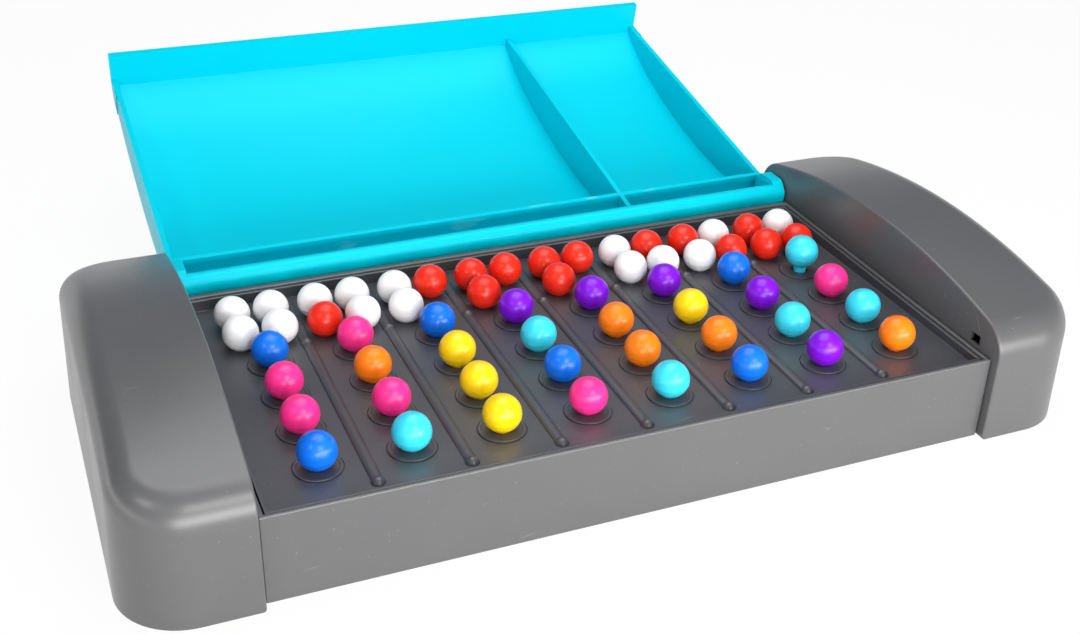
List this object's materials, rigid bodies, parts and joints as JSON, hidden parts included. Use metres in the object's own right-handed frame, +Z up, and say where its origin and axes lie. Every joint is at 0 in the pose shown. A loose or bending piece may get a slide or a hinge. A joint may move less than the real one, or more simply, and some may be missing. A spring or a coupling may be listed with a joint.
{
  "type": "code breaking peg game",
  "caption": "Travel code-breaking game: grey tray with arched end caps, dark peg board with round-headed code and key pegs, and a hinged cyan lid with storage compartments.",
  "frame": {"origin": "on the table, under the middle of the tray", "axes": "+Z up, +X along the tray to the player's right, -Y towards the player; the lid opens towards +Y"},
  "size_m": [0.2128, 0.186, 0.0474],
  "materials": {
    "shell_plastic": "satin dark grey moulding",
    "board_plastic": "near-black moulding with a slight gloss",
    "lid_plastic": "bright cyan moulding with a soft gloss",
    "cover_plastic": "matt dark grey moulding",
    "screw_steel": "plain steel",
    "blue_plastic": "semi-gloss solid blue",
    "pink_plastic": "semi-gloss solid pink",
    "orange_plastic": "semi-gloss solid orange",
    "cyan_plastic": "semi-gloss solid cyan",
    "yellow_plastic": "semi-gloss solid yellow",
    "purple_plastic": "semi-gloss solid purple",
    "white_plastic": "semi-gloss solid white",
    "red_plastic": "semi-gloss solid red"
  },
  "bodies": {
    "base": {"base_frame": "shell_plastic", "peg_board": "board_plastic", "left_cap": "shell_plastic", "right_cap": "shell_plastic", "bottom_cover": "cover_plastic", "cover_screw_1": "screw_steel", "cover_screw_2": "screw_steel", "cover_screw_3": "screw_steel", "cover_screw_4": "screw_steel", "cover_screw_5": "screw_steel", "cover_screw_6": "screw_steel"},
    "lid": {"lid": "lid_plastic"},
    "code_peg_1_1": {"code_peg_1_1": "blue_plastic"},
    "code_peg_1_2": {"code_peg_1_2": "pink_plastic"},
    "code_peg_1_3": {"code_peg_1_3": "pink_plastic"},
    "code_peg_1_4": {"code_peg_1_4": "blue_plastic"},
    "code_peg_2_1": {"code_peg_2_1": "cyan_plastic"},
    "code_peg_2_2": {"code_peg_2_2": "pink_plastic"},
    "code_peg_2_3": {"code_peg_2_3": "orange_plastic"},
    "code_peg_2_4": {"code_peg_2_4": "pink_plastic"},
    "code_peg_3_1": {"code_peg_3_1": "yellow_plastic"},
    "code_peg_3_2": {"code_peg_3_2": "yellow_plastic"},
    "code_peg_3_3": {"code_peg_3_3": "yellow_plastic"},
    "code_peg_3_4": {"code_peg_3_4": "blue_plastic"},
    "code_peg_4_1": {"code_peg_4_1": "pink_plastic"},
    "code_peg_4_2": {"code_peg_4_2": "blue_plastic"},
    "code_peg_4_3": {"code_peg_4_3": "cyan_plastic"},
    "code_peg_4_4": {"code_peg_4_4": "purple_plastic"},
    "code_peg_5_1": {"code_peg_5_1": "cyan_plastic"},
    "code_peg_5_2": {"code_peg_5_2": "orange_plastic"},
    "code_peg_5_3": {"code_peg_5_3": "orange_plastic"},
    "code_peg_5_4": {"code_peg_5_4": "purple_plastic"},
    "code_peg_6_1": {"code_peg_6_1": "blue_plastic"},
    "code_peg_6_2": {"code_peg_6_2": "orange_plastic"},
    "code_peg_6_3": {"code_peg_6_3": "yellow_plastic"},
    "code_peg_6_4": {"code_peg_6_4": "purple_plastic"},
    "code_peg_7_1": {"code_peg_7_1": "purple_plastic"},
    "code_peg_7_2": {"code_peg_7_2": "cyan_plastic"},
    "code_peg_7_3": {"code_peg_7_3": "purple_plastic"},
    "code_peg_7_4": {"code_peg_7_4": "blue_plastic"},
    "code_peg_8_1": {"code_peg_8_1": "orange_plastic"},
    "code_peg_8_2": {"code_peg_8_2": "cyan_plastic"},
    "code_peg_8_3": {"code_peg_8_3": "pink_plastic"},
    "code_peg_8_4": {"code_peg_8_4": "cyan_plastic"},
    "key_peg_1_1": {"key_peg_1_1": "white_plastic"},
    "key_peg_2_1": {"key_peg_2_1": "white_plastic"},
    "key_peg_2_2": {"key_peg_2_2": "red_plastic"},
    "key_peg_3_1": {"key_peg_3_1": "white_plastic"},
    "key_peg_3_2": {"key_peg_3_2": "red_plastic"},
    "key_peg_3_3": {"key_peg_3_3": "white_plastic"},
    "key_peg_4_1": {"key_peg_4_1": "red_plastic"},
    "key_peg_5_1": {"key_peg_5_1": "red_plastic"},
    "key_peg_6_1": {"key_peg_6_1": "white_plastic"},
    "key_peg_6_2": {"key_peg_6_2": "red_plastic"},
    "key_peg_7_1": {"key_peg_7_1": "red_plastic"},
    "key_peg_7_2": {"key_peg_7_2": "white_plastic"},
    "key_peg_7_3": {"key_peg_7_3": "white_plastic"},
    "key_peg_7_4": {"key_peg_7_4": "red_plastic"},
    "key_peg_8_1": {"key_peg_8_1": "red_plastic"},
    "key_peg_8_2": {"key_peg_8_2": "white_plastic"}
  },
  "joints": [
    {"name": "lid_hinge", "type": "hinge", "parent": "base", "child": "lid", "pos_m": [0, 0.0433, 0.0213], "axis": [-1, 0, 0], "range_deg": [-168.6, 0]},
    {"name": "peg_code_1_1_lift", "type": "slide", "parent": "base", "child": "code_peg_1_1", "axis": [0, 0, 1], "range_m": [0, 0.035]},
    {"name": "peg_code_1_2_lift", "type": "slide", "parent": "base", "child": "code_peg_1_2", "axis": [0, 0, 1], "range_m": [0, 0.035]},
    {"name": "peg_code_1_3_lift", "type": "slide", "parent": "base", "child": "code_peg_1_3", "axis": [0, 0, 1], "range_m": [0, 0.035]},
    {"name": "peg_code_1_4_lift", "type": "slide", "parent": "base", "child": "code_peg_1_4", "axis": [0, 0, 1], "range_m": [0, 0.035]},
    {"name": "peg_code_2_1_lift", "type": "slide", "parent": "base", "child": "code_peg_2_1", "axis": [0, 0, 1], "range_m": [0, 0.035]},
    {"name": "peg_code_2_2_lift", "type": "slide", "parent": "base", "child": "code_peg_2_2", "axis": [0, 0, 1], "range_m": [0, 0.035]},
    {"name": "peg_code_2_3_lift", "type": "slide", "parent": "base", "child": "code_peg_2_3", "axis": [0, 0, 1], "range_m": [0, 0.035]},
    {"name": "peg_code_2_4_lift", "type": "slide", "parent": "base", "child": "code_peg_2_4", "axis": [0, 0, 1], "range_m": [0, 0.035]},
    {"name": "peg_code_3_1_lift", "type": "slide", "parent": "base", "child": "code_peg_3_1", "axis": [0, 0, 1], "range_m": [0, 0.035]},
    {"name": "peg_code_3_2_lift", "type": "slide", "parent": "base", "child": "code_peg_3_2", "axis": [0, 0, 1], "range_m": [0, 0.035]},
    {"name": "peg_code_3_3_lift", "type": "slide", "parent": "base", "child": "code_peg_3_3", "axis": [0, 0, 1], "range_m": [0, 0.035]},
    {"name": "peg_code_3_4_lift", "type": "slide", "parent": "base", "child": "code_peg_3_4", "axis": [0, 0, 1], "range_m": [0, 0.035]},
    {"name": "peg_code_4_1_lift", "type": "slide", "parent": "base", "child": "code_peg_4_1", "axis": [0, 0, 1], "range_m": [0, 0.035]},
    {"name": "peg_code_4_2_lift", "type": "slide", "parent": "base", "child": "code_peg_4_2", "axis": [0, 0, 1], "range_m": [0, 0.035]},
    {"name": "peg_code_4_3_lift", "type": "slide", "parent": "base", "child": "code_peg_4_3", "axis": [0, 0, 1], "range_m": [0, 0.035]},
    {"name": "peg_code_4_4_lift", "type": "slide", "parent": "base", "child": "code_peg_4_4", "axis": [0, 0, 1], "range_m": [0, 0.035]},
    {"name": "peg_code_5_1_lift", "type": "slide", "parent": "base", "child": "code_peg_5_1", "axis": [0, 0, 1], "range_m": [0, 0.035]},
    {"name": "peg_code_5_2_lift", "type": "slide", "parent": "base", "child": "code_peg_5_2", "axis": [0, 0, 1], "range_m": [0, 0.035]},
    {"name": "peg_code_5_3_lift", "type": "slide", "parent": "base", "child": "code_peg_5_3", "axis": [0, 0, 1], "range_m": [0, 0.035]},
    {"name": "peg_code_5_4_lift", "type": "slide", "parent": "base", "child": "code_peg_5_4", "axis": [0, 0, 1], "range_m": [0, 0.035]},
    {"name": "peg_code_6_1_lift", "type": "slide", "parent": "base", "child": "code_peg_6_1", "axis": [0, 0, 1], "range_m": [0, 0.035]},
    {"name": "peg_code_6_2_lift", "type": "slide", "parent": "base", "child": "code_peg_6_2", "axis": [0, 0, 1], "range_m": [0, 0.035]},
    {"name": "peg_code_6_3_lift", "type": "slide", "parent": "base", "child": "code_peg_6_3", "axis": [0, 0, 1], "range_m": [0, 0.035]},
    {"name": "peg_code_6_4_lift", "type": "slide", "parent": "base", "child": "code_peg_6_4", "axis": [0, 0, 1], "range_m": [0, 0.035]},
    {"name": "peg_code_7_1_lift", "type": "slide", "parent": "base", "child": "code_peg_7_1", "axis": [0, 0, 1], "range_m": [0, 0.035]},
    {"name": "peg_code_7_2_lift", "type": "slide", "parent": "base", "child": "code_peg_7_2", "axis": [0, 0, 1], "range_m": [0, 0.035]},
    {"name": "peg_code_7_3_lift", "type": "slide", "parent": "base", "child": "code_peg_7_3", "axis": [0, 0, 1], "range_m": [0, 0.035]},
    {"name": "peg_code_7_4_lift", "type": "slide", "parent": "base", "child": "code_peg_7_4", "axis": [0, 0, 1], "range_m": [0, 0.035]},
    {"name": "peg_code_8_1_lift", "type": "slide", "parent": "base", "child": "code_peg_8_1", "axis": [0, 0, 1], "range_m": [0, 0.035]},
    {"name": "peg_code_8_2_lift", "type": "slide", "parent": "base", "child": "code_peg_8_2", "axis": [0, 0, 1], "range_m": [0, 0.035]},
    {"name": "peg_code_8_3_lift", "type": "slide", "parent": "base", "child": "code_peg_8_3", "axis": [0, 0, 1], "range_m": [0, 0.035]},
    {"name": "peg_code_8_4_lift", "type": "slide", "parent": "base", "child": "code_peg_8_4", "axis": [0, 0, 1], "range_m": [0, 0.035]},
    {"name": "peg_key_1_1_lift", "type": "slide", "parent": "base", "child": "key_peg_1_1", "axis": [0, 0, 1], "range_m": [0, 0.035]},
    {"name": "peg_key_2_1_lift", "type": "slide", "parent": "base", "child": "key_peg_2_1", "axis": [0, 0, 1], "range_m": [0, 0.035]},
    {"name": "peg_key_2_2_lift", "type": "slide", "parent": "base", "child": "key_peg_2_2", "axis": [0, 0, 1], "range_m": [0, 0.035]},
    {"name": "peg_key_3_1_lift", "type": "slide", "parent": "base", "child": "key_peg_3_1", "axis": [0, 0, 1], "range_m": [0, 0.035]},
    {"name": "peg_key_3_2_lift", "type": "slide", "parent": "base", "child": "key_peg_3_2", "axis": [0, 0, 1], "range_m": [0, 0.035]},
    {"name": "peg_key_3_3_lift", "type": "slide", "parent": "base", "child": "key_peg_3_3", "axis": [0, 0, 1], "range_m": [0, 0.035]},
    {"name": "peg_key_4_1_lift", "type": "slide", "parent": "base", "child": "key_peg_4_1", "axis": [0, 0, 1], "range_m": [0, 0.035]},
    {"name": "peg_key_5_1_lift", "type": "slide", "parent": "base", "child": "key_peg_5_1", "axis": [0, 0, 1], "range_m": [0, 0.035]},
    {"name": "peg_key_6_1_lift", "type": "slide", "parent": "base", "child": "key_peg_6_1", "axis": [0, 0, 1], "range_m": [0, 0.035]},
    {"name": "peg_key_6_2_lift", "type": "slide", "parent": "base", "child": "key_peg_6_2", "axis": [0, 0, 1], "range_m": [0, 0.035]},
    {"name": "peg_key_7_1_lift", "type": "slide", "parent": "base", "child": "key_peg_7_1", "axis": [0, 0, 1], "range_m": [0, 0.035]},
    {"name": "peg_key_7_2_lift", "type": "slide", "parent": "base", "child": "key_peg_7_2", "axis": [0, 0, 1], "range_m": [0, 0.035]},
    {"name": "peg_key_7_3_lift", "type": "slide", "parent": "base", "child": "key_peg_7_3", "axis": [0, 0, 1], "range_m": [0, 0.035]},
    {"name": "peg_key_7_4_lift", "type": "slide", "parent": "base", "child": "key_peg_7_4", "axis": [0, 0, 1], "range_m": [0, 0.035]},
    {"name": "peg_key_8_1_lift", "type": "slide", "parent": "base", "child": "key_peg_8_1", "axis": [0, 0, 1], "range_m": [0, 0.035]},
    {"name": "peg_key_8_2_lift", "type": "slide", "parent": "base", "child": "key_peg_8_2", "axis": [0, 0, 1], "range_m": [0, 0.035]}
  ]
}
